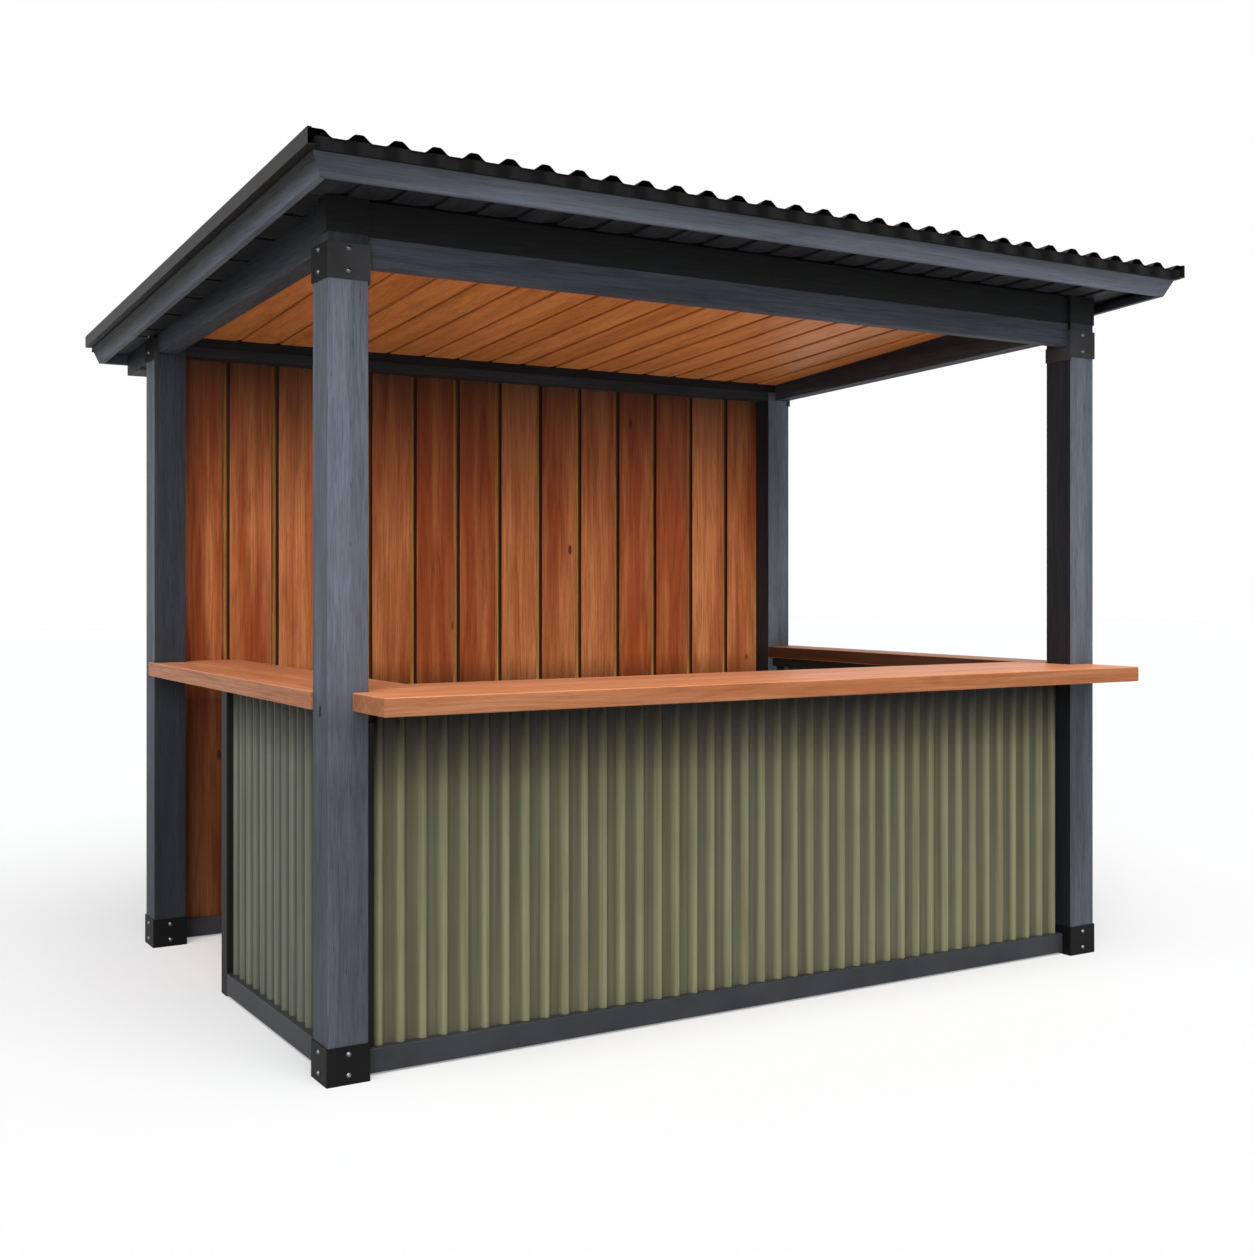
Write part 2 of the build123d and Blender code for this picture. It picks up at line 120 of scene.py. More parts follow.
softbox = bpy.data.objects.new("softbox", lamp)
softbox.location = softbox_place
softbox.rotation_euler = (radians(180), 0, 0)
softbox.visible_camera = False
softbox.visible_glossy = False
bpy.context.scene.collection.objects.link(softbox)

# The floor is a plain pale sheet. To the camera alone it gives off a little of the backdrop's white,
# so that away from the object's shadow the two meet at one tone.
floor_reach = 40
floor_colour = "#d9d9d9"
floor_lift = 0.27
floor_mesh = bpy.data.meshes.new("floor")
floor_corners = [(x * floor_reach, y * floor_reach, 0) for x, y in ((-1, -1), (1, -1), (1, 1), (-1, 1))]
floor_mesh.from_pydata(floor_corners, [], [(0, 1, 2, 3)])
floor = bpy.data.objects.new("floor", floor_mesh)
bpy.context.scene.collection.objects.link(floor)
pale = bpy.data.materials.new("pale_floor")
pale.use_nodes = True
tree = pale.node_tree
tree.nodes.clear()
path = add(tree, "ShaderNodeLightPath")
inputs = {0: path.outputs["Is Camera Ray"], 1: floor_lift}
lift = add(tree, "ShaderNodeMath", {"operation": "MULTIPLY"}, inputs)
matt = add(tree, "ShaderNodeBsdfDiffuse", None, {"Color": linear(floor_colour)})
glow = add(tree, "ShaderNodeEmission", None, {"Color": linear(sky_white), "Strength": lift.outputs[0]})
total = add(tree, "ShaderNodeAddShader", None, {0: matt.outputs[0], 1: glow.outputs[0]})
add(tree, "ShaderNodeOutputMaterial", None, {"Surface": total.outputs[0]})
floor.data.materials.append(pale)

# Posts: planed softwood, 120 mm square, in a slate stain that leaves the grain showing. The streaks
# are early and late wood, the short dark lines are drying checks. Painted shade darkens the stain
# below the counter, in a band where the counter meets the post, at the head under the roof, on the
# inner faces and a little on the outer side faces, and most on the front face of the back left post.


def wood(
    name, grain, colours, rough, streak=(4, 150, 0.4),
    figure=0.2, checks=0.4, knots=0.0, spread=0.0, stave=0, shine=0.25,
):
    """Boards of one species, with the grain along an axis; sizes are in millimetres. A slow noise
    stretched along the grain mixes the light and dark colours. Onto that come the contour lines of
    a smoother noise, which are the arches of flat-sawn wood, then streaks (across, along and share),
    pores, checks and knots, each as a share of the deep colour. Real pores are a tenth of a
    millimetre across, and are drawn at 2 mm so that they show. Each board, or each stave of a glued
    slab, moves the pattern by its own numbers and shifts its tone by the spread."""
    arch_turns = 55.0
    pore_share = 0.22
    deepest = 0.95
    light, dark, deep = (linear(colour) for colour in colours)
    material = bpy.data.materials.new(name)
    material.use_nodes = True
    tree = material.node_tree
    shader = tree.nodes["Principled BSDF"]
    place = add(tree, "ShaderNodeTexCoord")
    own = add(tree, "ShaderNodeAttribute", {"attribute_name": "board"})
    shift, chance = own.outputs["Color"], own.outputs["Alpha"]
    if stave:
        parts = add(tree, "ShaderNodeSeparateXYZ", None, {0: place.outputs["Object"]})
        across = parts.outputs["Y" if grain == "X" else "X"]
        inputs = {0: across, 1: 1000 / stave, 2: 0.37}
        count = add(tree, "ShaderNodeMath", {"operation": "MULTIPLY_ADD"}, inputs)
        whole = add(tree, "ShaderNodeMath", {"operation": "FLOOR"}, {0: count.outputs[0]})
        drawn = add(tree, "ShaderNodeTexWhiteNoise", {"noise_dimensions": "1D"}, {"W": whole.outputs[0]})
        shift, chance = drawn.outputs["Color"], drawn.outputs["Value"]
    inputs = {0: place.outputs["Object"], 1: shift}
    where = add(tree, "ShaderNodeVectorMath", {"operation": "ADD"}, inputs)

    def pattern(kind, across, length, inputs, low, high):
        """A texture of that size across and along the grain, stretched from low and high to 0 and 1."""
        scale = [1000 / across] * 3
        scale["XYZ".index(grain)] = 1000 / length
        mapped = add(tree, "ShaderNodeMapping", None, {"Vector": where.outputs[0], "Scale": scale})
        texture = add(tree, kind, None, {"Vector": mapped.outputs[0], "Scale": 1.0, **inputs})
        inputs = {"Value": texture.outputs[0], "From Min": low, "From Max": high}
        return add(tree, "ShaderNodeMapRange", None, inputs)

    noise = "ShaderNodeTexNoise"
    slow = pattern(noise, 50, 800, {"Detail": 3.0}, 0.32, 0.68)
    inputs = {0: chance, 1: spread, 2: slow.outputs[0]}
    toned = add(tree, "ShaderNodeMath", {"operation": "MULTIPLY_ADD"}, inputs)
    inputs = {0: toned.outputs[0], 1: spread / 2}
    level = add(tree, "ShaderNodeMath", {"operation": "SUBTRACT", "use_clamp": True}, inputs)
    base = add(tree, "ShaderNodeMix", {"data_type": "RGBA"}, {0: level.outputs[0], 6: dark, 7: light})
    contour = pattern(noise, 90, 1100, {"Detail": 1.0}, 0.0, 1.0)
    swing = add(tree, "ShaderNodeMath", {"operation": "MULTIPLY"}, {0: contour.outputs[0], 1: arch_turns})
    wave = add(tree, "ShaderNodeMath", {"operation": "SINE"}, {0: swing.outputs[0]})
    arch = add(tree, "ShaderNodeMapRange", None, {"Value": wave.outputs[0], "From Min": 0.0, "From Max": 1.0})
    streaks = pattern(noise, *streak[:2], {"Detail": 4.0, "Roughness": 0.65}, 0.38, 0.68)
    pores = pattern(noise, 2.2, 45, {"Detail": 2.0}, 0.5, 0.72)
    check = pattern(noise, 3.5, 90, {"Detail": 1.0}, 0.735, 0.765)
    knot = pattern("ShaderNodeTexVoronoi", 150, 340, {}, 0.075, 0.045)
    amount = 0.0
    shares = ((arch, figure), (streaks, streak[2]), (pores, pore_share), (check, checks), (knot, knots))
    for part, share in shares:
        inputs = {0: part.outputs[0], 1: share, 2: amount}
        amount = add(tree, "ShaderNodeMath", {"operation": "MULTIPLY_ADD"}, inputs).outputs[0]
    limit = add(tree, "ShaderNodeMath", {"operation": "MINIMUM"}, {0: amount, 1: deepest})
    inputs = {0: limit.outputs[0], 6: base.outputs[2], 7: deep}
    colour = add(tree, "ShaderNodeMix", {"data_type": "RGBA"}, inputs)
    tree.links.new(colour.outputs[2], shader.inputs["Base Color"])
    inputs = {"Strength": 0.4, "Distance": 0.0006, "Height": amount}
    bump = add(tree, "ShaderNodeBump", {"invert": True}, inputs)
    tree.links.new(bump.outputs[0], shader.inputs["Normal"])
    sheen = {"Value": streaks.outputs[0], "To Min": rough - 0.06, "To Max": rough + 0.08}
    gloss = add(tree, "ShaderNodeMapRange", None, sheen)
    tree.links.new(gloss.outputs[0], shader.inputs["Roughness"])
    shader.inputs["IOR"].default_value = 1.45
    shader.inputs["Specular IOR Level"].default_value = shine
    return material


def toned_by(material, *factors):
    """Multiplies a material's colour by factors that are read off the object's own coordinates, mostly
    for painted shade and painted light that fall by place. Each is a direction, where it is centred
    along that, the distances from there at which it starts and ends, and its values there."""
    tree = material.node_tree
    base = tree.nodes["Principled BSDF"].inputs["Base Color"]
    place = add(tree, "ShaderNodeTexCoord")
    for direction, centre, start, end, first, last in factors:
        inputs = {0: place.outputs["Object"], 1: direction}
        along = add(tree, "ShaderNodeVectorMath", {"operation": "DOT_PRODUCT"}, inputs)
        inputs = {0: along.outputs["Value"], 1: centre}
        off = add(tree, "ShaderNodeMath", {"operation": "SUBTRACT"}, inputs)
        away = add(tree, "ShaderNodeMath", {"operation": "ABSOLUTE"}, {0: off.outputs[0]})
        inputs = {"From Min": start, "From Max": end, "To Min": first, "To Max": last}
        level = add(tree, "ShaderNodeMapRange", None, {"Value": away.outputs[0], **inputs})
        inputs = {0: 1.0, 6: base.links[0].from_socket, 7: level.outputs[0]}
        mixed = add(tree, "ShaderNodeMix", {"data_type": "RGBA", "blend_type": "MULTIPLY"}, inputs)
        tree.links.new(mixed.outputs[2], base)
    return material


def dress(material, *names):
    """Puts a material into every slot of the named CAD nodes."""
    for node in names:
        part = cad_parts[node]
        if not part.material_slots:
            part.data.materials.append(material)
        for place in part.material_slots:
            place.material = material


rightward, backward, upward = (1, 0, 0), (0, 1, 0), (0, 0, 1)
corners = ("front_left", "front_right", "back_left", "back_right")
face_skin = (0.0002, 0.0012)
slate = ("#727a86", "#596069", "#2d3239")
slate_post = wood("slate_stained_post", "Z", slate, 0.62, streak=(3.5, 110, 0.45), figure=0.1, checks=0.7)
post_low, post_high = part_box("post_front_left")
frame_middle = (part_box("post_front_left")[0].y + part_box("post_back_left")[1].y) / 2
inner_x, outer_x = -post_high.x, -post_low.x
inner_y = frame_middle - post_high.y
# Painted shade: the colour is multiplied down below the counter, in the band where the counter meets the
# post, at the head under the roof, on the inner faces and on the outer side faces.
toned_by(
    slate_post,
    (upward, 0.0, 0.82, 1.12, 0.58, 1.0),  # below the counter
    (upward, 1.0, 0.01, 0.1, 0.72, 1.0),  # a band where the counter meets the post
    (upward, 0.0, 2.25, 2.32, 1.0, 0.22),  # the head, under the roof
    (rightward, 0.0, inner_x + face_skin[0], inner_x + face_skin[1], 0.16, 1.0),
    (rightward, 0.0, outer_x - face_skin[1], outer_x - face_skin[0], 1.0, 0.8),
)
dress(slate_post, *[f"post_{corner}" for corner in corners])
# A copy of the post stain with painted shade on its inner front face, for the back left post.
post_painted_shade_front = slate_post.copy()
post_painted_shade_front.name = "slate_stained_post_painted_shade_front"
toned_by(post_painted_shade_front, (backward, frame_middle, inner_y + face_skin[0], inner_y + face_skin[1], 0.28, 1.0))
dress(post_painted_shade_front, "post_back_left")

# Beams: the same wood on edge, notched over the posts, with tapered firrings on the side beams that
# take up the roof's fall. The stain is matt, and its colour is painted shade: dusk grey on the lower
# beams, where the light reaches, charcoal on the back lower beam, firrings and lookouts, and black on
# the upper ones close under the boards. The side beams are painted darker still up towards the
# firrings and on their undersides.
charcoal = ("#2d3136", "#202327", "#101214")
dusk = ("#4d535b", "#3a3f46", "#1f2226")
black_shade = ("#17191b", "#101113", "#060607")
charcoal_beam = wood("charcoal_painted_shade_beam", "X", charcoal, 0.65, figure=0.15)
dress(charcoal_beam, "beam_back_lower")
charcoal_side = wood("charcoal_painted_shade_firring", "Y", charcoal, 0.65, figure=0.15)
dress(charcoal_side, "firring_left", "firring_right", "lookout_left", "lookout_right")
dress(wood("black_painted_shade_beam", "X", black_shade, 0.65, figure=0.15), "beam_front_upper", "beam_back_upper")
dress(wood("dusk_painted_shade_beam", "X", dusk, 0.65, figure=0.2), "beam_front_lower")
side_beam = wood("dusk_painted_shade_side_beam", "Y", dusk, 0.65, figure=0.2)
low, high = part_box("beam_left_lower")
# Painted shade on the side beams: darker up towards the firring, and on the underside.
toned_by(
    side_beam,
    (upward, low.z, 0.02, high.z - low.z, 0.8, 0.28),  # darker up to the firring
    (upward, low.z, *face_skin, 0.4, 1.0),  # the underside
)
dress(side_beam, "beam_left_lower", "beam_right_lower")

# Shoes and collars: folded steel plate, bolted round the foot and the head of each post. The black
# powder coat is slightly rough like the skin of an orange, which spreads the light into a soft dull
# sheen.


def coated_steel(name, colours, rough, grain, lift, streak=0.0, pans=1.0, shine=0.3):
    """Steel under a baked coat. A fine noise makes the bump of the coat's own grain, which is half a
    millimetre in the real one and is drawn three to five times as coarse, so that it shows.
    A slow noise, or with streak one drawn out down the sheet, mixes two close colours. On a ribbed
    sheet the colour is multiplied by pans at the bottom of the ribs, as painted shade."""
    cloud_scale = 6.0  # clouds of about 170 mm
    streak_scale = (80.0, 80.0, 1.3)  # lines about 12 mm wide and 0.8 m long
    material = bpy.data.materials.new(name)
    material.use_nodes = True
    tree = material.node_tree
    shader = tree.nodes["Principled BSDF"]
    place = add(tree, "ShaderNodeTexCoord").outputs["Object"]
    slow = add(tree, "ShaderNodeTexNoise", None, {"Vector": place, "Scale": cloud_scale, "Detail": 4.0})
    drawn = add(tree, "ShaderNodeMapping", None, {"Vector": place, "Scale": streak_scale})
    lines = add(tree, "ShaderNodeTexNoise", None, {"Vector": drawn.outputs[0], "Scale": 1.0, "Detail": 3.0})
    inputs = {0: streak, 2: slow.outputs[0], 3: lines.outputs[0]}
    mixed = add(tree, "ShaderNodeMix", {"data_type": "FLOAT"}, inputs)
    inputs = {"Value": mixed.outputs[0], "From Min": 0.35, "From Max": 0.65}
    share = add(tree, "ShaderNodeMapRange", None, inputs)
    first, second = (linear(colour) for colour in colours)
    tint = add(tree, "ShaderNodeMix", {"data_type": "RGBA"}, {0: share.outputs[0], 6: first, 7: second})
    rib = add(tree, "ShaderNodeAttribute", {"attribute_name": "rib"})
    inputs = {"Value": rib.outputs["Fac"], "From Max": 0.6, "To Min": pans, "To Max": 1.0}
    pan_shade = add(tree, "ShaderNodeMapRange", None, inputs)
    inputs = {0: 1.0 if pans < 1 else 0.0, 6: tint.outputs[2], 7: pan_shade.outputs[0]}
    toned = add(tree, "ShaderNodeMix", {"data_type": "RGBA", "blend_type": "MULTIPLY"}, inputs)
    tree.links.new(toned.outputs[2], shader.inputs["Base Color"])
    fine = add(tree, "ShaderNodeTexNoise", None, {"Vector": place, "Scale": 1000 / grain, "Detail": 2.0})
    inputs = {"Strength": lift, "Distance": 0.0003, "Height": fine.outputs[0]}
    bump = add(tree, "ShaderNodeBump", None, inputs)
    tree.links.new(bump.outputs[0], shader.inputs["Normal"])
    shader.inputs["Roughness"].default_value = rough
    shader.inputs["Specular IOR Level"].default_value = shine
    return material


black_coat = coated_steel("black_powder_coated_shoe", ("#0e0e0f", "#0a0a0b"), 0.5, 1.6, 0.25, shine=0.15)
collar_coat = coated_steel("black_powder_coated_collar", ("#434345", "#363637"), 0.65, 1.6, 0.25, shine=0.05)
# Painted shade: the outer side faces of the collars are a quarter as bright as the rest.
collar_side = -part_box("collar_front_left")[0].x
toned_by(collar_coat, (rightward, 0.0, collar_side - face_skin[1], collar_side - face_skin[0], 1.0, 0.25))
dress(black_coat, *[f"shoe_{corner}" for corner in corners])
dress(collar_coat, *[f"collar_{corner}" for corner in corners])

# Bolts: round domed heads of bright zinc, 10 mm across on a 14 mm washer, two to each outer face of
# the collars and two to each face of the shoes that shows. The bare plating gives small bright dots.
head_width = 0.010
head_height = 0.0045
head_flat = 0.0012
washer_width = 0.014
washer_thickness = 0.0014
washer_sunk = 0.0005
shoe_bolts = (0.026, 0.084)
collar_bolts = (0.034, 0.096)
spangle_size = 2.5


def solid_of_rings(name, rings, material, board=None, marked=None, smooth=False):
    """One mesh of separate bars. rings has the shape (bars, stations, points, 3): each station is a
    closed ring, quads join it to the next, and a face closes each end. board gives each bar the
    numbers that shift its pattern and tone. marked is a second material, and the sides of the
    ring that take it, each counted by the point that it starts from."""
    bars, stations, points = rings.shape[:3]
    start = (np.arange(bars) * stations * points)[:, None, None]
    station = (np.arange(stations - 1) * points)[None, :, None]
    point = np.arange(points)[None, None, :]
    near = start + station + point
    after = start + station + (point + 1) % points
    quads = np.stack([near, after, after + points, near + points], axis=-1)
    first = start[:, 0] + np.arange(points)[None, ::-1]
    last = start[:, 0] + (stations - 1) * points + np.arange(points)[None, :]
    mesh = bpy.data.meshes.new(name)
    faces = quads.reshape(-1, 4).tolist() + first.tolist() + last.tolist()
    mesh.from_pydata(rings.reshape(-1, 3).tolist(), [], faces)
    mesh.materials.append(material)
    if marked:
        mesh.materials.append(marked[0])
        sides = np.broadcast_to(np.isin(point, marked[1]), near.shape).ravel()
        index = np.concatenate([sides, np.zeros(2 * bars, bool)]).astype(np.int32)
        mesh.polygons.foreach_set("material_index", index)
    if board is not None:
        own = mesh.attributes.new("board", "FLOAT_COLOR", "POINT")
        own.data.foreach_set("color", np.repeat(board, stations * points, axis=0).astype(np.float32).ravel())
    mesh.polygons.foreach_set("use_smooth", np.full(len(mesh.polygons), smooth))
    shell = bmesh.new()
    shell.from_mesh(mesh)
    bmesh.ops.recalc_face_normals(shell, faces=shell.faces)
    shell.to_mesh(mesh)
    shell.free()
    piece = bpy.data.objects.new(name, mesh)
    bpy.context.scene.collection.objects.link(piece)
    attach(piece, "root")
    return piece


def studs(places, outward, profile, sides=20):
    """Turned studs: profile rows are (radius, height), carried round a circle that faces outward at
    each place. The rings run from the washer's rim to the small flat at the top of the dome."""
    places = np.asarray(places, float)
    outward = np.asarray(outward, float)
    upright = np.array([0.0, 0.0, 1.0])
    sideways = np.cross(upright, outward)
    angle = np.linspace(0, 2 * np.pi, sides, endpoint=False)
    radius = profile[:, 0][None, :, None, None]
    height = profile[:, 1][None, :, None, None]
    circle = np.cos(angle)[None, None, :, None] * sideways[:, None, None, :]
    circle = circle + np.sin(angle)[None, None, :, None] * upright
    return places[:, None, None, :] + radius * circle + height * outward[:, None, None, :]


zinc = bpy.data.materials.new("bright_zinc_plated_steel")
zinc.use_nodes = True
tree = zinc.node_tree
shader = tree.nodes["Principled BSDF"]
shader.inputs["Metallic"].default_value = 1.0
shader.inputs["Roughness"].default_value = 0.34
place = add(tree, "ShaderNodeTexCoord")
inputs = {"Vector": place.outputs["Object"], "Scale": 1000 / spangle_size, "Detail": 2.0}
spangle = add(tree, "ShaderNodeTexNoise", None, inputs)
inputs = {0: spangle.outputs[0], 6: linear("#606367"), 7: linear("#94979b")}
tint = add(tree, "ShaderNodeMix", {"data_type": "RGBA"}, inputs)
tree.links.new(tint.outputs[2], shader.inputs["Base Color"])

dome = np.linspace(0, np.pi / 2, 6)[:-1]
stud_profile = np.concatenate([
    [[washer_width / 2, -washer_sunk], [washer_width / 2, washer_thickness]],
    np.stack([head_width / 2 * np.cos(dome), washer_thickness + head_height * np.sin(dome)], axis=1),
    [[head_flat / 2, washer_thickness + head_height]],
])
places, outward = [], []
for corner in corners:
    left = -1 if corner.endswith("left") else 1
    front = -1 if corner.startswith("front") else 1
    post_low, post_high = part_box(f"post_{corner}")
    middle = (post_low + post_high) / 2
    low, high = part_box(f"shoe_{corner}")
    outer_x, outer_y = (low.x, high.x)[left > 0], (low.y, high.y)[front > 0]
    inner_y = (low.y, high.y)[front < 0]
    for up in shoe_bolts:
        places += [(outer_x, middle.y, up), (middle.x, outer_y, up), (middle.x, inner_y, up)]
        outward += [(left, 0, 0), (0, front, 0), (0, -front, 0)]
    low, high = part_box(f"collar_{corner}")
    outer_x, outer_y = (low.x, high.x)[left > 0], (low.y, high.y)[front > 0]
    for up in collar_bolts:
        places.append((outer_x, middle.y, low.z + up))
        outward.append((left, 0, 0))
        if front < 0:
            places.append((middle.x, outer_y, low.z + up))
            outward.append((0, -1, 0))
bolts = solid_of_rings("bolts", studs(places, outward, stud_profile), zinc, smooth=True)

# Cover plates: small plates with round ends on the outer face of each left post, at the height of
# the counter, over the screws that hold it. They have the shoes' black coat.
cover_width = 0.011
cover_height = 0.03
cover_proud = 0.0015
cover_sunk = 0.001
cover_points = 24
cover_places = {"front_left": 1.027, "back_left": 1.038}
angle = np.linspace(0, 2 * np.pi, cover_points, endpoint=False)
outline_y = cover_width / 2 * np.cos(angle)
outline_z = cover_width / 2 * np.sin(angle) + np.sign(np.sin(angle)) * (cover_height - cover_width) / 2
plates = []
for corner, height in cover_places.items():
    low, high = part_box(f"post_{corner}")
    y, z = (low.y + high.y) / 2 + outline_y, height + outline_z
    x = [np.full(cover_points, low.x - out) for out in (-cover_sunk, cover_proud)]
    plates.append([np.stack([face, y, z], axis=1) for face in x])
covers = solid_of_rings("cover_plates", np.array(plates), black_coat)

# Ceiling: oiled cedar boards laid from front to back above the beams. Each is tongued into the
# next, which leaves a narrow slot, and has one long bevel, so the joints show from below as thin
# dark lines. The oil warms the wood and gives it a faint sheen.
board_thickness = 0.02
slot_width = 0.004
slot_depth = 0.009
ceiling_pitch = 0.155
ceiling_joint = 0.073
ceiling_bevel = (0.028, 0.006)
roof_low, roof_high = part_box("ceiling")
roof_slope = (roof_high.z - board_thickness - roof_low.z) / (roof_high.y - roof_low.y)


def under_roof(y):
    """Height of the underside of the roof boards at y: a straight fall from the front to the back."""
    return roof_low.z + roof_slope * (roof_high.y - y)


def own_numbers(count, seed):
    """Four random numbers for each board: a shift of its pattern along each axis, and its tone."""
    chance = np.random.default_rng(seed)
    return np.concatenate([chance.uniform(-5, 5, (count, 3)), chance.uniform(0, 1, (count, 1))], axis=1)


def roof_boards(name, node, along, pitch, first, bevel, material, seed):
    """Boards over the box of a node, along X or Y, on the slope of the roof. The joints are at the
    two ends and each whole pitch between them, counted from first, and forty each way are enough
    for any node. Seen across, a board is flat from its slot to its bevel, which rises by bevel's
    second number over its first. No board is narrower than a fifth of the pitch."""
    low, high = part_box(node)
    start, end = (low.x, high.x) if along == "Y" else (low.y, high.y)
    inside = first + pitch * np.arange(-40, 41)
    inside = inside[(inside > start + pitch / 5) & (inside < end - pitch / 5)]
    edges = np.concatenate([[start], inside, [end]])
    left, right = edges[:-1], edges[1:]
    slot_end, bevel_start = left + slot_width, right - bevel[0]
    across = np.stack([slot_end, bevel_start, right, right, left, left, slot_end], axis=1)
    up = np.array([0, 0, bevel[1], board_thickness, board_thickness, slot_depth, slot_depth])
    ends = np.array([low.y, high.y] if along == "Y" else [low.x, high.x])
    across, lengthways = np.broadcast_arrays(across[:, None, :], ends[None, :, None])
    x, y = (across, lengthways) if along == "Y" else (lengthways, across)
    rings = np.stack([x, y, under_roof(y) + up], axis=-1)
    piece = solid_of_rings(name, rings, material, board=own_numbers(len(left), seed))
    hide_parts(node)
    return piece


cedar = ("#c98148", "#a96834", "#6a3312")
grained = {"streak": (4, 240, 0.35), "figure": 0.15, "checks": 0.2, "spread": 0.6}
ceiling_cedar = wood("oiled_cedar_ceiling", "Y", cedar, 0.5, **grained)
ceiling_layout = ("Y", ceiling_pitch, ceiling_joint, ceiling_bevel)
ceiling_boards = roof_boards("ceiling_boards", "ceiling", *ceiling_layout, ceiling_cedar, 3)

# Soffits: the same boards outside the beams, from front to back at the front and back, and across
# at the sides, where they are twice as wide. Their matt stain is the posts' slate, painted darker as
# painted shade, darkest at the sides, so that little more than the joints shows.
soffit_pitch = 0.1315
soffit_bevel = (0.05, 0.008)
side_soffit_pitch = 0.263
side_soffit_bevel = (0.04, 0.004)
soffit_joint = 0.0
soffit_shade_colours = ("#30333a", "#25272c", "#101113")
side_soffit_shade_colours = ("#1e2024", "#17181b", "#0b0b0c")
soffit_long = wood("soffit_painted_shade", "Y", soffit_shade_colours, 0.6, figure=0.2, spread=0.25)
soffit_cross = wood("side_soffit_painted_shade", "X", side_soffit_shade_colours, 0.6, figure=0.2, spread=0.3)
soffit_layout = {
    "Y": (soffit_pitch, soffit_joint, soffit_bevel, soffit_long),
    "X": (side_soffit_pitch, soffit_joint, side_soffit_bevel, soffit_cross),
}
for node, along in (("soffit_front", "Y"), ("soffit_back", "Y"), ("soffit_left", "X"), ("soffit_right", "X")):
    piece = roof_boards(f"{node}_boards", node, along, *soffit_layout[along], 7)

# Shade strips: black strips along the outer edges of the front and back beams, close under the
# boards, which stand in as painted shade for the dark gaps between the boards' bevels and the
# beams. A noise with cells of 2 mm mixes two near blacks, and the strips give back almost no light.
strip_cell = 2.0
strip_height = 0.013
strip_sunk = 0.005
strip_width = 0.006
strip_set_back = 0.003
edges = [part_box(beam)[0].y + strip_set_back for beam in ("beam_front_upper", "beam_back_upper")]
y = np.array([[edge, edge + strip_width] for edge in edges])[:, None, [0, 1, 1, 0]]
x = np.array([roof_low.x, roof_high.x])[None, :, None]
x, y = np.broadcast_arrays(x, y)
shade_strip_coat = bpy.data.materials.new("black_shade_strip")
shade_strip_coat.use_nodes = True
tree = shade_strip_coat.node_tree
place = add(tree, "ShaderNodeTexCoord").outputs["Object"]
cells = add(tree, "ShaderNodeTexNoise", None, {"Vector": place, "Scale": 1000 / strip_cell})
inputs = {0: cells.outputs[0], 6: linear("#060606"), 7: linear("#0e0e0e")}
tint = add(tree, "ShaderNodeMix", {"data_type": "RGBA"}, inputs)
shader = tree.nodes["Principled BSDF"]
tree.links.new(tint.outputs[2], shader.inputs["Base Color"])
shader.inputs["Roughness"].default_value = 0.95
shader.inputs["Specular IOR Level"].default_value = 0.05
up = np.array([-strip_sunk, -strip_sunk, strip_height, strip_height])
rings = np.stack([x, y, under_roof(y) + up], axis=-1)
shade_strips = solid_of_rings("beam_shade_strips", rings, shade_strip_coat)

# Fascias: slate stained boards that lean inwards round the roof's edge, mitred at the corners.
# Painted shade darkens their tops under the drip, on the side fascias nearly to black, and the front
# and back ones are also darker towards the left corner.
falling = (0, roof_slope, 1)
edge_drop = 0.04
fascia_level = roof_low.z + roof_slope * roof_high.y - edge_drop
grained = {"streak": (4, 260, 0.3), "figure": 0.08, "checks": 0.3}
front_fascia = wood("slate_stained_fascia", "X", slate, 0.6, **grained)
front_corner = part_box("fascia_front")[0].x
toned_by(
    front_fascia,
    (falling, fascia_level, 0.012, 0.045, 1.0, 0.86),  # up to the drip
    (rightward, front_corner, 0.0, 0.6, 0.6, 1.0),  # towards the left corner
)
dress(front_fascia, "fascia_front", "fascia_back")
side_fascia = wood("slate_stained_side_fascia", "Y", slate, 0.6, **grained)
# Painted shade under the verge: the side fascias darken nearly to black at the top.
toned_by(side_fascia, (falling, fascia_level, 0.0, 0.042, 0.85, 0.03))
dress(side_fascia, "fascia_left", "fascia_right")

# Roof sheet: thin steel, roll formed into low ribs with soft bends, and coated black, with a dull
# sheen along the crowns. Its outer edges stay at the height of the crowns, under the folded lip of
# the verge flashings. It lies on a deck painted black, as painted shade for the dark line under the
# verges.
rib_count = 31
rib_crown = 0.018
rib_foot = 0.072
rib_height = 0.0185
rib_softness = 0.75
rib_inset = 0.03
roof_steel = 0.0012
steps_per_rib = 24


def roll_formed(across, start, pitch, crown, foot, height, softness):
    """Height of a ribbed sheet: nothing in the pan, full on the crown, and between them a web whose
    straight line is mixed with an S curve, smoothstep, by the softness of the bends."""
    away = np.abs((across - start + pitch / 2) % pitch - pitch / 2)
    web = np.clip((foot / 2 - away) / (foot / 2 - crown / 2), 0, 1)
    return height * ((1 - softness) * web + softness * web ** 2 * (3 - 2 * web))


def sheet_of_grid(name, grid, material, thickness, rib=None):
    """A thin sheet from a grid of points, (rows, columns, 3), given its thickness by Solidify, which
    keeps the grid as the outer face. Rows run to the right and columns up, seen from outside. rib
    is how far up its rib each row lies, from nought to one."""
    rows, columns = grid.shape[:2]
    index = np.arange(rows * columns).reshape(rows, columns)
    quads = np.stack([index[:-1, :-1], index[1:, :-1], index[1:, 1:], index[:-1, 1:]], axis=-1)
    mesh = bpy.data.meshes.new(name)
    mesh.from_pydata(grid.reshape(-1, 3).tolist(), [], quads.reshape(-1, 4).tolist())
    mesh.materials.append(material)
    if rib is not None:
        own = mesh.attributes.new("rib", "FLOAT", "POINT")
        own.data.foreach_set("value", np.repeat(rib, columns).astype(np.float32))
    piece = bpy.data.objects.new(name, mesh)
    bpy.context.scene.collection.objects.link(piece)
    wall = piece.modifiers.new("thickness", "SOLIDIFY")
    wall.thickness = thickness
    wall.offset = -1
    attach(piece, "root")
    return piece


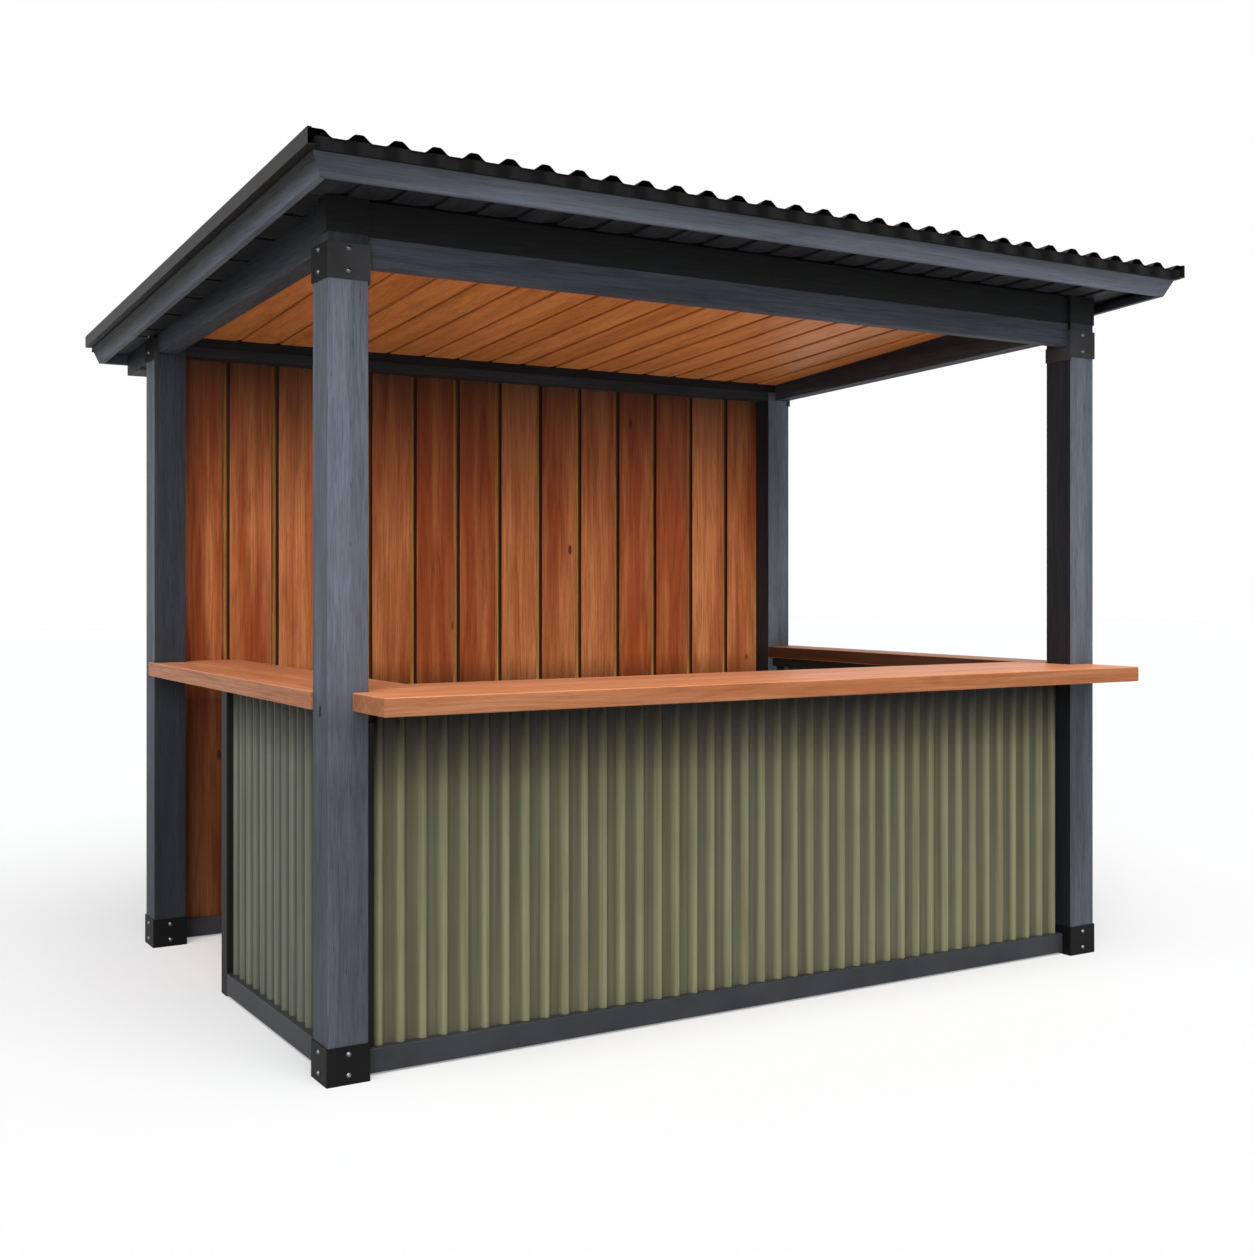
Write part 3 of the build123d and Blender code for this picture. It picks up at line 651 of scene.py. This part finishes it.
low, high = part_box("roof_sheet")
crown_level = high.z - under_roof(low.y)
first_rib = low.x + rib_inset
across = np.linspace(low.x, high.x, rib_count * steps_per_rib + 1)
pitch = -2 * first_rib / (rib_count - 1)
ribs = roll_formed(across, first_rib, pitch, rib_crown, rib_foot, rib_height, rib_softness)
ribs = np.where(np.abs(across) > -first_rib, rib_height, ribs)
x, y = np.meshgrid(across, np.array([low.y, high.y]), indexing="ij")
grid = np.stack([x, y, under_roof(y) + crown_level - rib_height + ribs[:, None]], axis=-1)
roof_coat = coated_steel("black_coated_roof_steel", ("#0b0b0c", "#070708"), 0.55, 2.5, 0.1, shine=0.1)
roof = sheet_of_grid("roof_ribs", grid, roof_coat, roof_steel)
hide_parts("roof_sheet")
dress(roof_coat, "drip_back")
dress(wood("black_painted_shade_deck", "X", black_shade, 0.7, figure=0.1), "roof_deck")

# Front closure: a narrow apron of the same steel below the front edge, pressed with shallow ribs
# that stand under the roof's own. It is coated dark grey between the ribs' open ends, and under them
# painted shade keeps it black.
closure_rib = {"crown": 0.03, "foot": 0.092, "height": 0.0045, "softness": 0.8}
rib_shade_band = {"crown": 0.02, "foot": 0.09, "height": 1.0, "softness": 0.6}
rib_shade_shift = 0.02
closure_back = 0.0008
closure_steel = 0.0008
low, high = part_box("drip_front")
pan_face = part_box("roof_deck")[0].y - closure_back - closure_steel
pressed = roll_formed(across, first_rib, pitch, **closure_rib)
x, z = np.meshgrid(across, np.array([low.z, high.z]), indexing="ij")
grid = np.stack([x, pan_face - np.broadcast_to(pressed[:, None], x.shape), z], axis=-1)
grid = grid[np.abs(across) < high.x]
closure_colours = ("#1b1b1c", "#141415")
coat = {"rough": 0.55, "grain": 2.5, "lift": 0.1, "pans": 0.06, "shine": 0.08}
closure_coat = coated_steel("black_coated_closure_steel", closure_colours, **coat)
under_ribs = roll_formed(across, first_rib - rib_shade_shift, pitch, **rib_shade_band)
away_from_ribs = 1 - under_ribs[np.abs(across) < high.x]
closure = sheet_of_grid("front_closure", grid, closure_coat, closure_steel, rib=away_from_ribs)
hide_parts("drip_front")

# Verge flashings: steel strips folded over the sheet's side edges, with a narrow lip on top, a face
# that covers the deck's edge, and a return below it. Their dark grey coat is a little smoother than
# the roof's, and catches one soft line of light along the fold.
verge_lip = 0.012
verge_face = 0.044
verge_return = 0.022
verge_steel = 0.0015
verge_inset = 0.0003
verge_coat = coated_steel("dark_grey_coated_flashing", ("#222322", "#1c1d1c"), 0.5, 2.0, 0.1, shine=0.15)
for node, side in (("verge_left", -1), ("verge_right", 1)):
    low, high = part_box(node)
    outer = low.x if side < 0 else high.x
    top = high.z - under_roof(low.y)
    x = outer - side * np.array([verge_lip, 0, 0, verge_return])
    up = top + np.array([0, 0, -verge_face, -verge_face])
    y = np.array([low.y + verge_inset, high.y - verge_inset])[:: -side, None]
    grid = np.stack(np.broadcast_arrays(x, y, under_roof(y) + up), axis=-1)
    piece = sheet_of_grid(f"{node}_fold", grid, verge_coat, verge_steel)
    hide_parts(node)

# Back wall: upright cedar boards, eased at their long edges, nailed over a backing of thinner boards
# that shows as a golden strip in each gap. The boards' sides and tongues, and the grooves on the
# backing's outer face, are painted dark as painted shade, and the oil brings out their figure.
# Painted shade darkens the wall under the roof and below the counters, and the boards away from the
# open right side are painted a little darker, so that those near it read as lit.
wall_boards_count = 14
wall_gap = 0.031
wall_board_depth = 0.014
wall_edge = 0.0025
tongue = (0.009, 0.003)
wall_low, wall_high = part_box("back_wall")
board_width = (wall_high.x - wall_low.x + wall_gap) / wall_boards_count - wall_gap
left = wall_low.x + (board_width + wall_gap) * np.arange(wall_boards_count)[:, None]
turn = np.linspace(0, np.pi / 2, 4)
near_left = left + wall_edge * (1 - np.cos(turn))
near_right = left + board_width - wall_edge * (1 - np.cos(turn[::-1]))
face = wall_low.y + wall_edge * (1 - np.sin(turn))
back = wall_low.y + wall_board_depth
tongue_end = np.where(left > wall_low.x, left - tongue[0], left)
across = [near_left, near_right, left + board_width, tongue_end, tongue_end, left]
across = np.concatenate(across, axis=1)[:, None, :]
depth = np.concatenate([face, face[::-1], [back, back, back - tongue[1], back - tongue[1]]])
upright = np.array([wall_low.z, wall_high.z])[None, :, None]
rings = np.stack(np.broadcast_arrays(across, depth, upright), axis=-1)
wall_colours = ("#f19b60", "#b95c2e", "#5f260d")
grained = {"streak": (4, 280, 0.4), "figure": 0.15, "checks": 0.3, "knots": 0.7, "spread": 0.8}
wall_cedar = wood("oiled_cedar_wall", "Z", wall_colours, 0.5, **grained)
# Painted shade for the boards' sides and tongues, in the recesses between the boards.
painted_shade_edge_cedar = wood("cedar_edge_painted_shade", "Z", ("#4a2a16", "#361d0e", "#1c0e06"), 0.6, figure=0.1)
# Painted shade under the roof and below the counters, and painted light towards the open right side.
toned_by(
    wall_cedar,
    (upward, 0.0, 1.6, 2.25, 1.0, 0.2),  # under the roof
    (upward, 0.0, 0.92, 1.06, 0.3, 1.0),  # below the counters
    (rightward, 1.38, 0.35, 1.1, 1.0, 0.82),  # away from the open right side
)
numbers = own_numbers(wall_boards_count, 11)
shaded_sides = [7, 9, 10, 11]
wall = solid_of_rings("wall_boards", rings, wall_cedar, board=numbers, marked=(painted_shade_edge_cedar, shaded_sides))
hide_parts("back_wall")

backing_groove = 0.004
groove_sides = [2, 4]
left = left[:, 0] - wall_gap / 2
edges = np.concatenate([[wall_low.x], left[1:], [wall_high.x]])
left, right = edges[:-1], edges[1:]
across = np.stack([left, right, right, right - backing_groove, left + backing_groove, left], axis=1)
across = across[:, None, :]
outer = wall_high.y
depth = np.array([back, back, outer - backing_groove, outer, outer, outer - backing_groove])
rings = np.stack(np.broadcast_arrays(across, depth, upright), axis=-1)
strip_colours = ("#d39a55", "#ac763b", "#553516")
strip_cedar = wood("golden_cedar_backing", "Z", strip_colours, 0.55, figure=0.15, spread=0.4)
# Painted shade under the roof.
toned_by(strip_cedar, (upward, 0.0, 1.6, 2.25, 1.0, 0.25))
numbers = own_numbers(wall_boards_count, 13)
backing = solid_of_rings("wall_backing", rings, strip_cedar, board=numbers, marked=(painted_shade_edge_cedar, groove_sides))

# Counters: thick slabs of hardwood glued up from staves, with eased edges, let in round the posts.
# The oil gives a soft low sheen. Below the top face the colour is painted darker, so that the tops
# read lit as painted light, and the right counter carries painted shade, most on its inner face.
counter_colours = ("#f8ad80", "#e0905e", "#9c4f2d")
counter_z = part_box("counter_front")[1].z
# Painted light: all below the top face is multiplied to 0.56, so the tops read lit.
painted_light_top = (upward, 0.0, counter_z - 0.003, counter_z - 0.002, 0.56, 1.0)
grained = {"streak": (4, 300, 0.4), "figure": 0.18, "checks": 0.15, "spread": 0.4, "shine": 0.12}
front_counter = wood("oiled_hardwood_front_counter", "X", counter_colours, 0.45, stave=123, **grained)
side_counter = wood("oiled_hardwood_side_counter", "Y", counter_colours, 0.45, stave=117, **grained)
dress(toned_by(front_counter, painted_light_top), "counter_front")
dress(toned_by(side_counter, painted_light_top), "counter_left", "counter_left_rear")
right_counter_shaded = side_counter.copy()
right_counter_shaded.name = "oiled_hardwood_right_counter_painted_shade"
inner_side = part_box("counter_right")[0].x
# Painted shade on the right counter: its inner face darkest, the rest at 0.7.
toned_by(right_counter_shaded, (rightward, inner_side, *face_skin, 0.14, 0.7))
dress(right_counter_shaded, "counter_right")

# Panel frames: square steel tube between the posts, which carries the sheets, with a dark grey powder
# coat. The uprights, and the top rails below, are painted darker as painted shade. The coat gives the
# bottom rails a faint even sheen.
grey_coat = coated_steel("grey_powder_coated_tube", ("#38393c", "#303135"), 0.42, 1.4, 0.2, shine=0.2)
shaded_tube_coat = coated_steel("powder_coated_tube_painted_shade", ("#1b1b1a", "#151514"), 0.5, 1.4, 0.2, shine=0.15)
dress(grey_coat, "front_rail_bottom", "left_rail_bottom", "right_rail_bottom", "back_rail")
dress(shaded_tube_coat, "left_stile", "right_stiles", "left_end_stile")

# Panel sheets: thin steel with upright ribs at 66 mm, roll formed and coated olive, from the bottom
# rail up to the counter. Painted shade darkens the pans between the ribs and the tops of the sheets
# under the counters, and the side sheets have a darker, greyer copy of the coat as painted shade.
# Rain has drawn faint streaks.
panel_rib = {"crown": 0.01, "foot": 0.036, "height": 0.014, "softness": 0.35}
panel_pitch = 0.066
panel_steel = 0.0012
front_widening = (0.016, 0.044)
pressed_look = {"rough": 0.5, "grain": 2.0, "lift": 0.12, "streak": 0.8}
olive_colours = ("#828466", "#6e6a4e")
side_olive_shaded_colours = ("#6e7160", "#5d5e4f")
olive = coated_steel("olive_coated_sheet_steel", olive_colours, pans=0.46, **pressed_look)
side_olive_shaded = coated_steel("olive_side_sheet_steel_painted_shade", side_olive_shaded_colours, pans=0.45, **pressed_look)
# Painted shade under the counters: the sheets darken towards their tops.
toned_by(olive, (upward, 0.0, 0.78, 0.99, 1.0, 0.08))
toned_by(side_olive_shaded, (upward, 0.0, 0.84, 1.0, 0.95, 0.22))
sheet_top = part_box("left_rail_top")[1].z


def panel(name, node, outward, coat, widening=(0.0, 0.0)):
    """A ribbed sheet over the box of a node: outward is the axis and side that its ribs face."""
    low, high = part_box(node)
    along = 0 if outward[0] == "Y" else 1
    side = 1 if outward[1] == "+" else -1
    start, end = low[along] - widening[0], high[along] + widening[1]
    count = int((end - start - panel_rib["foot"]) // panel_pitch) + 1
    pitch = (end - start - panel_rib["foot"]) / (count - 1)
    run = np.linspace(start, end, count * steps_per_rib + 1)
    out = roll_formed(run, start + panel_rib["foot"] / 2, pitch, **panel_rib)
    face = 1 - along
    pan = (high[face] - panel_rib["height"]) if side > 0 else (low[face] + panel_rib["height"])
    if (along == 0) == (side > 0):
        run, out = run[::-1], out[::-1]
    place = np.empty((len(run), 2, 3))
    place[..., along] = run[:, None]
    place[..., face] = (pan + side * out)[:, None]
    place[..., 2] = (low.z, sheet_top)
    piece = sheet_of_grid(name, place, coat, panel_steel, rib=out / panel_rib["height"])
    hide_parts(node)


panel("front_ribs", "front_sheet", "Y-", olive, front_widening)
panel("left_ribs", "left_sheet", "X-", side_olive_shaded)
panel("right_ribs", "right_sheet", "X+", side_olive_shaded)

# Top rails and front stiles: the same tube in the darker coat of painted shade, the rails set back
# behind the sheets, close under the counters, and the stiles beside the front posts.
tube_radius = 0.003
rail_back = 0.002


def tubes(name, lows, highs, along, material, *nodes):
    """Square tubes between two corners each: a rectangle with rounded corners, carried along an
    axis. The corners are quarter circles of four points each."""
    lows, highs = np.asarray(lows, float), np.asarray(highs, float)
    first, second = [axis for axis in range(3) if axis != along]
    turn = np.linspace(0, np.pi / 2, 4)
    angle = (turn[None, :] + np.arange(4)[:, None] * np.pi / 2).ravel()
    signs = np.repeat([[1, 1], [-1, 1], [-1, -1], [1, -1]], 4, axis=0)
    middle, half = (lows + highs) / 2, (highs - lows) / 2
    ring = np.empty((len(lows), 2, len(signs), 3))
    for axis, sign, curve in ((first, signs[:, 0], np.cos(angle)), (second, signs[:, 1], np.sin(angle))):
        reach = sign * (half[:, None, axis] - tube_radius) + tube_radius * curve
        ring[..., axis] = (middle[:, None, axis] + reach)[:, None, :]
    ring[..., along] = np.stack([lows[:, along], highs[:, along]], axis=1)[:, :, None]
    piece = solid_of_rings(name, ring, material)
    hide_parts(*nodes)


low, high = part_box("front_rail_top")
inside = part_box("front_sheet")[1].y + rail_back
tubes("front_top_rail", [(low.x, inside, low.z)], [(high.x, high.y, high.z)], 0, shaded_tube_coat, "front_rail_top")
for node, sheet, side in (("left_rail_top", "left_sheet", -1), ("right_rail_top", "right_sheet", 1)):
    low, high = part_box(node)
    sheet_low, sheet_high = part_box(sheet)
    near = (sheet_high.x + rail_back, high.x) if side < 0 else (low.x, sheet_low.x - rail_back)
    tubes(f"{node}_tube", [(near[0], low.y, low.z)], [(near[1], high.y, high.z)], 1, shaded_tube_coat, node)
low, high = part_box("front_stiles")
width = (high.x - low.x) / 2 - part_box("front_sheet")[1].x - front_widening[0]
lows = [(low.x, low.y, low.z), (high.x - width, inside, low.z)]
highs = [(low.x + width, high.y, high.z), (high.x, high.y, high.z)]
tubes("front_stile_tubes", lows, highs, 2, shaded_tube_coat, "front_stiles")
